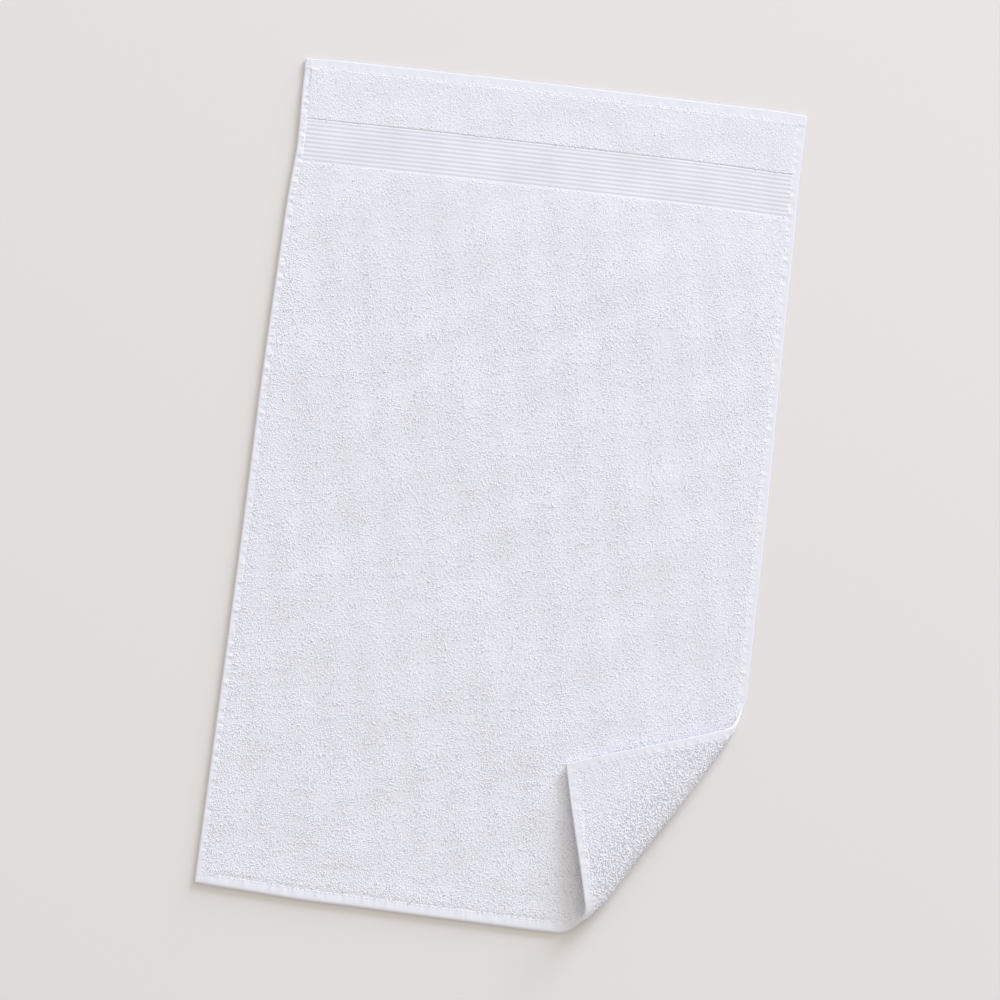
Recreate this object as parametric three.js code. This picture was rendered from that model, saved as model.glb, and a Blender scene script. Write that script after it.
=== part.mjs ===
import * as THREE from 'three';

// Cotton terry bath towel, lying face up with its lower right corner folded back over the face.
// Millimetres. +X runs across the width, +Y up the length to the bordered end, and +Z up from the
// surface that the towel lies on. Pile, flat woven border and turned hems are one cloth, so the
// towel is one solid. Its shape is a run of sections from the bordered end to the folded tip:
//   1. straight across the cloth, down to the lower side of the border,
//   2. fanning round until they lie along the fold,
//   3. round the roll of the fold, and
//   4. back over the face, out to the tip of the corner.

// ---- Driving dimensions -------------------------------------------------------------------------

const PILE_THICKNESS = 5.2; // ground cloth with loops on both sides
const BORDER_THICKNESS = 3.8; // flat woven band with no loops
const HEM_THICKNESS = 4.5; // cloth turned in twice and sewn down
const SIDE_HEM = 10.5;
const END_HEM = 16;
const TOP_HEM = 13;
const PILE_RISE = 3; // over this much the loops stand up beside a hem or the border

const BORDER_START = 81.2; // from the bordered end
const BORDER_DEPTH = 58;

const TOP_LEFT = new THREE.Vector2(-352.5, 578.7);
const TOP_RIGHT = new THREE.Vector2(349.4, 584);
const BOTTOM_LEFT = new THREE.Vector2(-367.3, -579.7);

// The edges aren't quite straight. Each row pushes one edge out (or draws it in, where out is
// negative) around a place measured along that edge, and reach is how far the push spreads. A row
// that reaches further than the edge is long moves all of it but its corners, which stay back.
const EDGE_BOWS = [
  { edge: 'left', at: 118, out: -3.4, reach: 52 },
  { edge: 'left', at: 440, out: 2, reach: 170 },
  { edge: 'right', at: 105, out: -1.2, reach: 38 },
  { edge: 'right', at: 560, out: 1.5, reach: 130 },
  { edge: 'top', at: 350, out: 2.2, reach: 900 },
  { edge: 'top', at: 350, out: 1.3, reach: 210 },
  { edge: 'bottom', at: 250, out: 1.2, reach: 900 },
  { edge: 'bottom', at: 150, out: 2.2, reach: 70 },
  { edge: 'bottom', at: 290, out: 1.4, reach: 110 },
];
const BOW_FADE = 40;

// The fold has its own frame: "along" is measured down the outer line of the roll from a point near
// the side hem, and "across" is measured from the line, positive away from the towel.
const FOLD_START = new THREE.Vector2(357.2, -276);
const FOLD_ANGLE = THREE.MathUtils.degToRad(-120.5); // direction of the roll in plan
const ROLL_RADIUS = 15; // half the roll's width, outside of the cloth, at FOLD_START
const ROLL_GROWTH = 0.028; // the roll opens towards the end hem, as a cone does
const ROLL_RISE = 9; // half its height there: the cloth's own weight flattens it
const RISE_GROWTH = 0.012;
const FLAP_REACH = 139.8; // from the roll's top line to the tip, in plan
const TIP_HEIGHT = 12; // upper side of the folded tip

// Where the two hems cross the fold, in along. turn is the half-turns made by the cloth, and past
// 1 it is the share of FLAP_REACH covered. A bow shifts the middle of a hem on the flap.
const FOLD_ROWS = [
  { place: 'leaves the surface', turn: 0, sideHem: -40, endHem: 377 },
  { place: 'outermost line', turn: 0.5, sideHem: -16, endHem: 352 },
  { place: 'top of the roll', turn: 1, sideHem: 12.6, endHem: 317.9 },
  { place: 'tip', turn: 2, sideHem: 183, endHem: 183 },
];
const SIDE_HEM_BOW = -3.5;
const END_HEM_BOW = 2.3;

// The roll bulges a little on its way, and is drawn in where the hems, which are thinner and
// stiffer, go round it.
const ROLL_SWELLS = [
  { at: -25, out: -7, reach: 25 },
  { at: 125, out: 2.4, reach: 75 },
  { at: 300, out: 1.8, reach: 25 },
  { at: 355, out: -11, reach: 25 },
];

// ---- Sections -----------------------------------------------------------------------------------

const INNER_CELLS = 30; // across each section, between the hems
const FAN_SECTIONS = 20;
const ROLL_SECTIONS = 12;
const MAX_HEM_SHARE = 0.09; // of a section's length, so that short sections keep room for pile
const MAX_RISE_SHARE = 0.02;
const FLAP_TURNS = [1.1, 1.2, 1.3, 1.4, 1.5, 1.6, 1.66, 1.7, 1.8]; // the last runs round the tip

const { lerp, smoothstep } = THREE.MathUtils;

// Sum of soft bumps: a table's rows, each a bell of its own height and reach.
function bumps(rows, place) {
  const bell = (row) => row.out * Math.exp(-(((place - row.at) / row.reach) ** 2));
  return rows.reduce((sum, row) => sum + bell(row), 0);
}

// A straight edge from one corner towards another, with its bows, which fade out at the corners.
// Its inward side is on the left of its direction when side is 1.
function makeEdge(name, from, to, side) {
  const run = to.clone().sub(from);
  const length = run.length();
  const direction = run.divideScalar(length);
  const inward = new THREE.Vector2(-direction.y * side, direction.x * side);
  const bows = EDGE_BOWS.filter((row) => row.edge === name);
  const outAt = (place) => {
    const fade = smoothstep(place, 0, BOW_FADE) * (1 - smoothstep(place, length - BOW_FADE, length));
    return bumps(bows, place) * fade;
  };
  const at = (place) => {
    return from.clone().addScaledVector(direction, place).addScaledVector(inward, -outAt(place));
  };
  return { at, outAt, inward, length };
}

// ---- The fold -----------------------------------------------------------------------------------

const ALONG = new THREE.Vector2(Math.cos(FOLD_ANGLE), Math.sin(FOLD_ANGLE));
const ACROSS = new THREE.Vector2(-ALONG.y, ALONG.x);

function rollRadius(along) {
  return ROLL_RADIUS + ROLL_GROWTH * along;
}

function rollRise(along) {
  return ROLL_RISE + RISE_GROWTH * along;
}

// The underside of the cloth at a place on the fold. Up to one half-turn it goes round the roll:
// across = radius (sin - 1), height = rise (1 - cos). Past that it lies back over the face and
// comes down to the tip in an S-curve.
function foldPoint(along, turn) {
  const radius = rollRadius(along);
  const angle = Math.PI * Math.min(turn, 1);
  const flap = Math.max(turn - 1, 0);
  const swell = bumps(ROLL_SWELLS, along) * Math.sin(angle);
  const across = radius * (Math.sin(angle) - 1) + swell - flap * FLAP_REACH;
  const rollHeight = rollRise(along) * (1 - Math.cos(angle));
  const height = lerp(rollHeight, TIP_HEIGHT, smoothstep(flap, 0, 1));
  const plan = FOLD_START.clone().addScaledVector(ALONG, along).addScaledVector(ACROSS, across);
  return new THREE.Vector3(plan.x, plan.y, height);
}

// The distance that the cloth has covered at a row of the table, so that a hem bends evenly. Half
// round the roll it is about pi times the mean of the roll's two half-widths.
function pathAt(turn, along) {
  const meanRadius = (rollRadius(along) + rollRise(along)) / 2;
  return Math.PI * meanRadius * Math.min(turn, 1) + FLAP_REACH * Math.max(turn - 1, 0);
}

// Smooth curve through one column of FOLD_ROWS: a cubic between rows, whose slope at each row is
// the mean of the slopes on its two sides.
function throughRows(column, turn) {
  const along = FOLD_ROWS.map((row) => row[column]);
  const path = FOLD_ROWS.map((row) => pathAt(row.turn, row[column]));
  const lastSpan = FOLD_ROWS.length - 2;
  const chord = (i) => (along[i + 1] - along[i]) / (path[i + 1] - path[i]);
  const slope = (i) => (chord(Math.max(i - 1, 0)) + chord(Math.min(i, lastSpan))) / 2;
  const i = Math.min(lastSpan, FOLD_ROWS.findLastIndex((row) => row.turn <= turn));
  const share = (turn - FOLD_ROWS[i].turn) / (FOLD_ROWS[i + 1].turn - FOLD_ROWS[i].turn);
  const step = path[i + 1] - path[i];
  const startPull = share * (1 - share) ** 2 * step * slope(i);
  const endPull = share ** 2 * (1 - share) * step * slope(i + 1);
  return lerp(along[i], along[i + 1], smoothstep(share, 0, 1)) + startPull - endPull;
}

function hemOnFold(column, bow, turn) {
  const flap = Math.max(turn - 1, 0);
  return throughRows(column, turn) + bow * Math.sin(Math.PI * flap);
}

const sideHemAt = (turn) => hemOnFold('sideHem', SIDE_HEM_BOW, turn);
const endHemAt = (turn) => hemOnFold('endHem', END_HEM_BOW, turn);

function onSurface(along) {
  const point = foldPoint(along, 0);
  return new THREE.Vector2(point.x, point.y);
}

// ---- Points across a section --------------------------------------------------------------------

// Shares of a section's length: its start, its hem's inner line, the pile's full height, even
// steps, and the same at its other end. Short sections near the tip keep their hems in proportion.
function sharesAcross(length, startHem, endHem) {
  const start = Math.min(startHem / length, MAX_HEM_SHARE);
  const end = 1 - Math.min(endHem / length, MAX_HEM_SHARE);
  const rise = Math.min(PILE_RISE / length, MAX_RISE_SHARE);
  const inner = Array.from({ length: INNER_CELLS + 1 }, (_, i) => {
    return lerp(start + rise, end - rise, i / INNER_CELLS);
  });
  return [0, start, ...inner, end, 1];
}

function thicknessAcross(middle, hem) {
  const inner = Array(INNER_CELLS + 1).fill(middle);
  return [hem, hem, ...inner, hem, hem];
}

// A section of the part that lies flat, from a point on one edge to a point on another.
function flatSection(start, end, startInward, endInward, startHem, endHem, thickness) {
  const direction = end.clone().sub(start).normalize();
  const length = start.distanceTo(end);
  const startInset = startHem / direction.dot(startInward);
  const endInset = -endHem / direction.dot(endInward);
  const points = sharesAcross(length, startInset, endInset).map((share) => {
    const plan = start.clone().lerp(end, share);
    return new THREE.Vector3(plan.x, plan.y, 0);
  });
  return { points, thickness: thicknessAcross(thickness, Math.min(thickness, HEM_THICKNESS)) };
}

// A section on the roll or the flap. Near the tip it bends towards the corner that lies ahead of
// it, until the last one runs round the corner along both hems.
function foldSection(turn, thickness) {
  const from = endHemAt(turn);
  const to = sideHemAt(turn);
  const lastTurn = FLAP_TURNS.at(-1);
  const bend = (Math.max(turn - 1, 0) / (lastTurn - 1)) ** 2;
  const shares = sharesAcross(from - to, END_HEM / ACROSS_END, SIDE_HEM / ACROSS_SIDE);
  const points = shares.map((share) => {
    const ahead = turn + (2 - turn) * (1 - Math.abs(2 * share - 1));
    const hem = share < 0.5 ? endHemAt(ahead) : sideHemAt(ahead);
    const along = lerp(lerp(from, to, share), hem, bend);
    return foldPoint(along, lerp(turn, ahead, bend));
  });
  return { points, thickness: thicknessAcross(thickness, Math.min(thickness, HEM_THICKNESS)) };
}

// ---- The run of sections ------------------------------------------------------------------------

const sideFoot = onSurface(sideHemAt(0));
const endFoot = onSurface(endHemAt(0));
const left = makeEdge('left', TOP_LEFT, BOTTOM_LEFT, 1);
const right = makeEdge('right', TOP_RIGHT, sideFoot, -1);
const bottom = makeEdge('bottom', BOTTOM_LEFT, endFoot, 1);
const top = makeEdge('top', TOP_LEFT, TOP_RIGHT, -1);

// How steeply each hem crosses the sections on the fold.
const ACROSS_SIDE = Math.abs(ALONG.dot(right.inward));
const ACROSS_END = Math.abs(ALONG.dot(bottom.inward));

const sections = [];

// 1. Straight across, from the bordered end to the lower side of the border.
const borderEnd = BORDER_START + BORDER_DEPTH;
const straightRows = [
  { down: 0, thickness: HEM_THICKNESS },
  { down: TOP_HEM, thickness: HEM_THICKNESS },
  { down: TOP_HEM + PILE_RISE, thickness: PILE_THICKNESS },
  { down: (TOP_HEM + BORDER_START) / 2, thickness: PILE_THICKNESS },
  { down: BORDER_START - PILE_RISE / 2, thickness: PILE_THICKNESS },
  { down: BORDER_START + PILE_RISE / 2, thickness: BORDER_THICKNESS },
  { down: borderEnd - PILE_RISE / 2, thickness: BORDER_THICKNESS },
  { down: borderEnd + PILE_RISE / 2, thickness: PILE_THICKNESS },
];
for (const row of straightRows) {
  const section = flatSection(
    left.at(row.down), right.at(row.down), left.inward, right.inward, SIDE_HEM, SIDE_HEM, row.thickness,
  );
  // The bow of the top edge dies out over the hem and the pile below it.
  const share = 1 - smoothstep(row.down, 0, BORDER_START);
  for (const point of section.points) {
    point.y += share * top.outAt(point.x - TOP_LEFT.x);
  }
  sections.push(section);
}

// 2. Fanning round. One end goes down the left edge and on along the bottom edge, the other down
// the right edge. One section starts exactly at the bottom left corner.
const fanStart = straightRows.at(-1).down;
const leftRun = left.length - fanStart;
const cornerStep = Math.round((FAN_SECTIONS * leftRun) / (leftRun + bottom.length));
for (let i = 1; i <= FAN_SECTIONS; i += 1) {
  const onLeft = i <= cornerStep;
  const edge = onLeft ? left : bottom;
  const place = onLeft
    ? lerp(fanStart, left.length, i / cornerStep)
    : (bottom.length * (i - cornerStep)) / (FAN_SECTIONS - cornerStep);
  const start = edge.at(place);
  const end = right.at(lerp(fanStart, right.length, i / FAN_SECTIONS));
  const hem = onLeft ? SIDE_HEM : END_HEM;
  sections.push(flatSection(start, end, edge.inward, right.inward, hem, SIDE_HEM, PILE_THICKNESS));
}

// 3. Round the roll.
for (let i = 1; i <= ROLL_SECTIONS; i += 1) {
  sections.push(foldSection(i / ROLL_SECTIONS, PILE_THICKNESS));
}

// 4. Back over the face to the tip, whose last two sections are the hem.
const hemSections = FLAP_TURNS.slice(-2);
for (const turn of FLAP_TURNS) {
  sections.push(foldSection(turn, hemSections.includes(turn) ? HEM_THICKNESS : PILE_THICKNESS));
}

// ---- From sections to a closed solid ------------------------------------------------------------

const columns = sections[0].points.length;
const rows = sections.length;
const under = sections.flatMap((section) => section.points);
const thickness = sections.flatMap((section) => section.thickness);

// Two triangles for each cell, split along its shorter diagonal, seen from the face.
function cellTriangles(row, column) {
  const a = row * columns + column;
  const b = a + 1;
  const c = a + columns + 1;
  const d = a + columns;
  const splitAC = under[a].distanceTo(under[c]) < under[b].distanceTo(under[d]);
  return splitAC ? [[a, c, b], [a, d, c]] : [[a, d, b], [b, d, c]];
}

const faceTriangles = [];
for (let row = 0; row < rows - 1; row += 1) {
  for (let column = 0; column < columns - 1; column += 1) {
    faceTriangles.push(...cellTriangles(row, column));
  }
}

// The face lies one thickness above the underside, square to it.
function offsetFace() {
  const sheet = new THREE.BufferGeometry().setFromPoints(under);
  sheet.setIndex(faceTriangles.flat());
  sheet.computeVertexNormals();
  const normals = sheet.getAttribute('normal');
  return under.map((point, i) => {
    const normal = new THREE.Vector3().fromBufferAttribute(normals, i);
    return point.clone().addScaledVector(normal, thickness[i]);
  });
}

// The outline of the grid, in order, with the cloth on its right.
function outline() {
  const loop = [];
  const lastColumn = columns - 1;
  const lastRow = rows - 1;
  for (let column = 0; column < lastColumn; column += 1) {
    loop.push(column);
  }
  for (let row = 0; row < lastRow; row += 1) {
    loop.push(row * columns + lastColumn);
  }
  for (let column = lastColumn; column > 0; column -= 1) {
    loop.push(lastRow * columns + column);
  }
  for (let row = lastRow; row > 0; row -= 1) {
    loop.push(row * columns);
  }
  return loop;
}

function towelGeometry() {
  const face = offsetFace();
  const shift = under.length;
  const triangles = faceTriangles.map(([a, b, c]) => [a + shift, b + shift, c + shift]);
  triangles.push(...faceTriangles.map(([a, b, c]) => [a, c, b]));
  const loop = outline();
  loop.forEach((a, i) => {
    const b = loop[(i + 1) % loop.length];
    triangles.push([a, a + shift, b + shift], [a, b + shift, b]);
  });
  const geometry = new THREE.BufferGeometry().setFromPoints([...under, ...face]);
  geometry.setIndex(triangles.flat());
  geometry.computeBoundingBox();
  const centre = geometry.boundingBox.getCenter(new THREE.Vector3());
  geometry.translate(-centre.x, -centre.y, -geometry.boundingBox.min.z);
  geometry.computeVertexNormals();
  return geometry;
}

const cottonTerry = new THREE.MeshStandardMaterial({ color: 0xe6e6ed, roughness: 0.95, metalness: 0 });

const towel = new THREE.Mesh(towelGeometry(), cottonTerry);
towel.name = 'towel';

const group = new THREE.Group();
group.add(towel);

export default group;
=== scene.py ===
# %% [markdown]
# # A cotton terry bath towel with one corner folded back
#
# The towel lies face up on a pale floor. It is one woven cloth: loops of cotton yarn stand on
# both of its sides, a flat ribbed border crosses it near one end, and all four edges are turned
# in and sewn down as hems. One corner is folded back over the face, so the reverse shows there.
#
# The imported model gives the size, the place and the fold. This lesson makes the surface: the
# ground cloth as one thin closed sheet on that fold, and the pile as loops that stand on it. All
# shapes are worked out in millimetres as whole numpy arrays.

import bpy
import numpy as np
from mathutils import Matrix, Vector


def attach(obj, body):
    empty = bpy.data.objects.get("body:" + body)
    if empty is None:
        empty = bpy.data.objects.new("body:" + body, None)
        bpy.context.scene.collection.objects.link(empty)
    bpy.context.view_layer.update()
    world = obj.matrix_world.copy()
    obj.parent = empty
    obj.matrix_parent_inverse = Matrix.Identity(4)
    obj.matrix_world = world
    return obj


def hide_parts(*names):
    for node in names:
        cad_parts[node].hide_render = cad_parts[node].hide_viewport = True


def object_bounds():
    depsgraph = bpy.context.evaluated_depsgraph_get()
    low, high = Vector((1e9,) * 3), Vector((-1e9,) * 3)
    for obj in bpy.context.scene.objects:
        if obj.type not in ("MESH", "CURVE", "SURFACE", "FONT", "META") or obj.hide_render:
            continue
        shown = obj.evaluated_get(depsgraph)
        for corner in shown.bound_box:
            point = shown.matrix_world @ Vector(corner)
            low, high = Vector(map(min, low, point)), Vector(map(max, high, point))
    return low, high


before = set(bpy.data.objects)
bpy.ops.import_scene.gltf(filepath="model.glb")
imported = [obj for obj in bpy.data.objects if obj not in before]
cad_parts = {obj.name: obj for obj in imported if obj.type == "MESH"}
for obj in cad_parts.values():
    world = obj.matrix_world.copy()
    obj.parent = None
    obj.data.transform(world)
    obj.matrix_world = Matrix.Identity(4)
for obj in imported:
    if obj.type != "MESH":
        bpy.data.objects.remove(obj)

cad_low, cad_high = [np.array(corner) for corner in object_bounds()]
MM = 0.001
print("packed model, mm:", np.round((cad_high - cad_low) / MM, 1))

# %% [markdown]
# ## Sizes of the cloth
#
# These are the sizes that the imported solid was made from, because the cloth lies on the same
# shape. The solid is 5.2 mm thick, pile and all. The ground cloth is thinner than that, and the
# loops fill the rest.

# %% Sizes, in millimetres
GROUND = 3.9  # face of the ground cloth over the floor, where loops stand on it
BORDER_DROP = 0.3  # how much thinner than that the border is
REVERSE_INSET = 0.5  # how far the ground cloth lies in from the reverse of the solid
SIDE_HEM = 10.5
END_HEM = 16.0
TOP_HEM = 13.0

BORDER_START = 81.2
BORDER_END = 139.2

TOP_LEFT = np.array([-352.5, 578.7])
TOP_RIGHT = np.array([349.4, 584.0])
BOTTOM_LEFT = np.array([-367.3, -579.7])

# Each row swells one edge by "out" around the place "at", over "reach" on both sides of it.
EDGE_BOWS = {
    "left": [(118, -3.4, 52), (440, 2.0, 170)],
    "right": [(105, -1.2, 38), (560, 1.5, 130)],
    "top": [(350, 2.2, 900), (350, 1.3, 210)],
    "bottom": [(250, 1.2, 900), (150, 2.2, 70), (290, 1.4, 110)],
}
BOW_FADE = 40.0
TOP_BOW_FADE = BORDER_START  # how far down the towel the weave follows the top edge's bow
CORNER_OUT = 0.8  # where a side hem goes over the top hem, the cloth is stiff and stands out
print("border, mm: from", BORDER_START, "to", BORDER_END)

# %% [markdown]
# ## The outline
#
# A hemmed edge is nearly straight, but washing and handling pull it in and out by a few
# millimetres. A straight line plus a few soft bells stays easy to change, where a traced curve
# would hide what it means. An edge says where a place on it lies, and how far inside it a point
# of the cloth is, which the hems and the pile ask for.


# %% The edges
def smooth(value, low, high):
    """0 below low and 1 above high, with the cubic 3t^2 - 2t^3 between them."""
    t = np.clip((value - low) / (high - low), 0, 1)
    return t * t * (3 - 2 * t)


def bell(offset, reach):
    """exp(-(offset / reach)^2): 1 at the place itself and next to 0 past twice the reach."""
    return np.exp(-((offset / reach) ** 2))


def bells(rows, place):
    """Sum of soft bells: each row (at, out, reach) adds out * bell(place - at, reach)."""
    place = np.asarray(place, dtype=float)
    return sum((out * bell(place - at, reach) for at, out, reach in rows), 0 * place)


class Edge:
    """A straight edge from one corner to another, swollen by its bells, which fade at its ends."""

    def __init__(self, name, start, end, side):
        self.rows = EDGE_BOWS[name]
        self.corner = CORNER_OUT if name in ("left", "right") else 0.0
        self.start = start
        self.length = np.linalg.norm(end - start)
        self.direction = (end - start) / self.length
        self.inward = np.array([-self.direction[1], self.direction[0]]) * side

    def out(self, place):
        """How far the edge stands out: its bells, faded at both ends, and the corner's step."""
        start = smooth(place, 0, BOW_FADE)
        end = 1 - smooth(place, self.length - BOW_FADE, self.length)
        square = 1 - smooth(place, TOP_HEM + 0.5, TOP_HEM + 2.5)
        return bells(self.rows, place) * (start * end) + self.corner * square

    def at(self, place):
        """start + place * direction - out * inward, for an array of places."""
        place = np.asarray(place, dtype=float)[..., None]
        return self.start + place * self.direction - self.out(place) * self.inward

    def inside(self, points):
        """How far points lie inside the edge, square to it."""
        offset = points - self.start
        return offset @ self.inward + self.out(offset @ self.direction)


# %% [markdown]
# ## The folded corner
#
# The lower right corner rolls up off the floor and lies back over the face. The roll opens
# towards the bottom hem like a cone. A place on the fold has two numbers: **along** runs down the
# outer line of the roll, and **turn** counts the half-turns that the cloth has made, 0 where it
# leaves the floor, 1 at the top of the roll and 2 at the tip of the corner.
#
# A simulated corner would land where it liked. A formula puts the two hems and the tip where they
# belong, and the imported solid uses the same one.

# %% The fold
FOLD_START = np.array([357.2, -276.0])
FOLD_ANGLE = np.radians(-120.5)
ALONG = np.array([np.cos(FOLD_ANGLE), np.sin(FOLD_ANGLE)])
ACROSS = np.array([-ALONG[1], ALONG[0]])
ROLL_RADIUS = 15.0
ROLL_GROWTH = 0.028
ROLL_RISE = 9.0
RISE_GROWTH = 0.012
FLAP_REACH = 139.8
TIP_HEIGHT = 12.0
ROLL_SWELLS = [(-25, -7.0, 25), (125, 2.4, 75), (300, 1.8, 25), (355, -11.0, 25)]

# Where the two hems cross the fold: turn, side hem and end hem, in "along".
FOLD_ROWS = np.array([
    [0.0, -40.0, 377.0],  # leaves the floor
    [0.5, -16.0, 352.0],  # outermost line
    [1.0, 12.6, 317.9],  # top of the roll
    [2.0, 183.0, 183.0],  # tip
])
SIDE_HEM_BOW = -3.5
END_HEM_BOW = 2.3
FAR_AWAY = 500.0


# %% The shape of the roll and the flap
def roll_radius(along):
    """Half the width of the roll, which grows evenly along it."""
    return ROLL_RADIUS + ROLL_GROWTH * along


def roll_rise(along):
    """Half the height of the roll, which grows evenly along it."""
    return ROLL_RISE + RISE_GROWTH * along


def round_roll(along):
    """Half of the roll's girth: about pi times the mean of its half-width and half-height."""
    return np.pi * (roll_radius(along) + roll_rise(along)) / 2


def path_at(turn, along):
    """Length of cloth from the floor line: the way round the roll, then the flap's reach."""
    return round_roll(along) * np.minimum(turn, 1) + FLAP_REACH * np.maximum(turn - 1, 0)


def turn_at(path, along):
    """The inverse of path_at."""
    girth = round_roll(along)
    return np.where(path < girth, path / girth, 1 + (path - girth) / FLAP_REACH)


def raised(plan, height=0.0):
    """Points or directions in plan, each with a height added as its third number."""
    return np.concatenate([plan, np.broadcast_to(height, plan.shape[:-1])[..., None]], axis=-1)


def fold_point(along, turn):
    """Reverse side of the cloth: an ellipse round the roll, then an S-curve down to the tip."""
    along, turn = np.broadcast_arrays(np.asarray(along, float), np.asarray(turn, float))
    radius = roll_radius(along)
    angle = np.pi * np.minimum(turn, 1)
    flap = np.maximum(turn - 1, 0)
    swell = bells(ROLL_SWELLS, along) * np.sin(angle)
    across = radius * (np.sin(angle) - 1) + swell - flap * FLAP_REACH
    roll_height = roll_rise(along) * (1 - np.cos(angle))
    height = roll_height + (TIP_HEIGHT - roll_height) * smooth(flap, 0, 1)
    return raised(FOLD_START + along[..., None] * ALONG + across[..., None] * ACROSS, height)


def down_roll(along, turn):
    """The tangent along the roll: two millimetres of it."""
    return fold_point(along + 1, turn) - fold_point(along - 1, turn)


def fold_normal(along, turn):
    """Unit normal from the reverse towards the face: the cross product of the two tangents."""
    step = 1e-3
    onward = fold_point(along, turn + step) - fold_point(along, turn - step)
    normal = np.cross(down_roll(along, turn), onward)
    return normal / np.linalg.norm(normal, axis=-1, keepdims=True)


# %% The two hems across the fold
def hem_on_fold(column, bow, turn):
    """Cubic through one column of FOLD_ROWS in path length, plus a bow over the flap."""
    turn = np.asarray(turn, dtype=float)
    turns, places = FOLD_ROWS[:, 0], FOLD_ROWS[:, column]
    path = path_at(turns, places)
    chords = np.diff(places) / np.diff(path)
    slopes = np.concatenate([chords[:1], (chords[1:] + chords[:-1]) / 2, chords[-1:]])
    i = np.clip(np.searchsorted(turns, turn, side="right") - 1, 0, len(turns) - 2)
    t = (turn - turns[i]) / (turns[i + 1] - turns[i])
    step = path[i + 1] - path[i]
    through = places[i] + (places[i + 1] - places[i]) * t * t * (3 - 2 * t)
    through = through + t * (1 - t) ** 2 * step * slopes[i] - t**2 * (1 - t) * step * slopes[i + 1]
    return through + bow * np.sin(np.pi * np.maximum(turn - 1, 0))


def side_hem_at(turn):
    """Where the side hem crosses the fold at each turn, in along."""
    return hem_on_fold(1, SIDE_HEM_BOW, turn)


def end_hem_at(turn):
    """Where the end hem crosses the fold at each turn, in along."""
    return hem_on_fold(2, END_HEM_BOW, turn)


def hem_slope(hem_at, turn):
    """How much a hem moves along the roll for each millimetre of cloth round it."""
    step = 0.01
    low = np.clip(turn - step, 0, 2 - 2 * step)
    high = low + 2 * step
    run = path_at(high, hem_at(high)) - path_at(low, hem_at(low))
    return (hem_at(high) - hem_at(low)) / run


def inside_on_fold(hem_at, side, along, turn):
    """Distance inside a hem that crosses the fold: along, less the hem's, square to the hem."""
    return side * (along - hem_at(turn)) / np.sqrt(1 + hem_slope(hem_at, turn) ** 2)


# %% The four edges
side_foot = fold_point(side_hem_at(0), 0)[:2]
end_foot = fold_point(end_hem_at(0), 0)[:2]
left = Edge("left", TOP_LEFT, BOTTOM_LEFT, 1)
right = Edge("right", TOP_RIGHT, side_foot, -1)
bottom = Edge("bottom", BOTTOM_LEFT, end_foot, 1)
top = Edge("top", TOP_LEFT, TOP_RIGHT, -1)
print("edges, mm:", {e: round(v.length) for e, v in dict(left=left, right=right, top=top).items()})

# %% [markdown]
# ## Where a point is on the cloth
#
# The relief, the pile and the stitches all follow from how far a point is inside the left, right,
# top and bottom edges. On the fold that comes from where the hems cross it. A point there also
# has its place on the cloth as it was before the fold, and the weave follows that place.


# %% Distances and cloth coordinates
def depth_on_floor(points):
    """Distances inside the left, right, top and bottom edges, for points in plan."""
    offset = points - top.start
    below = smooth(offset @ top.inward, 0, TOP_BOW_FADE)
    down = offset @ top.inward + top.out(offset @ top.direction) * (1 - below)
    return np.stack([left.inside(points), right.inside(points), down, bottom.inside(points)])


def depth_on_fold(along, turn):
    """The same four distances on the fold, where the left and top edges are far away."""
    far = np.full(np.shape(along), FAR_AWAY)
    side = inside_on_fold(side_hem_at, 1, along, turn)
    end = inside_on_fold(end_hem_at, -1, along, turn)
    return np.stack([far, side, far, end])


def unrolled(along, turn):
    """Where a point of the fold lay before it was folded: straight on past the floor line."""
    across = path_at(turn, along) - roll_radius(along)
    return FOLD_START + along[..., None] * ALONG + across[..., None] * ACROSS


# %% [markdown]
# ## The four hems
#
# Each hem was turned, pressed and worn in its own way, so each has its own numbers. The left and
# bottom ones stand thick and round. The right and top ones are pressed thin, and their stiff
# lower edge stands off the floor like a wedge. On the flap the same hems are seen from behind.

# %% Numbers of the left, right, top and bottom hem
# Each name has two rows: the four hems on the floor, and the same four on the flap.
HEMS = {
    "width": ([10.0, 11.0, TOP_HEM, END_HEM], [10.0, 12.5, TOP_HEM, 11.5]),
    "height": ([4.9, 3.6, 3.6, 5.0], [4.9, 4.5, 3.6, 4.5]),
    # How much lower a hem is at its seam than at its edge, or, below 0, how much higher.
    "fall": ([0.4, -0.15, -0.2, 0.65], [0.0, 0.35, 0.0, 0.1]),
    # How far in the top of the edge is round, and the outermost line's share of the height.
    "round": ([2.0, 0.4, 0.2, 3.2], [2.0, 0.6, 1.0, 1.5]),
    "middle": ([0.5, 0.86, 0.86, 0.65], [0.5, 0.1, 0.86, 0.4]),
    # How far in the cloth is off the floor: round at a bulge of 1, an even wedge at 0.
    "under_round": ([2.0, 7.0, 7.0, 3.0], [2.0, 0.6, 1.0, 1.5]),
    "under_bulge": ([1.0, 0.0, 0.0, 1.0], [1.0, 1.0, 1.0, 1.0]),
}
# The thick hems lift the pile for some way beside them, and their seams pull it down again.
PILE_LIFTS = [0.5, 0.0, 0.0, 0.65]
SEAM_DIPS = [0.25, 0.0, 0.0, 0.55]
PUCKERS = [1.0, 0.6, 0.3, 0.62]

# Where a side hem meets the top hem, it is wider and lies double. One that is taller than
# TALL_HEM comes down to it from CORNER_REACH on.
CORNER_WIDTHS = [13.5, 17.0]
CORNER_STEP = 0.3
TALL_HEM = 4.7
CORNER_DROP = 1.0
CORNER_REACH = 70.0
print("heights of the four hems, mm:", HEMS["height"][0])


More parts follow.
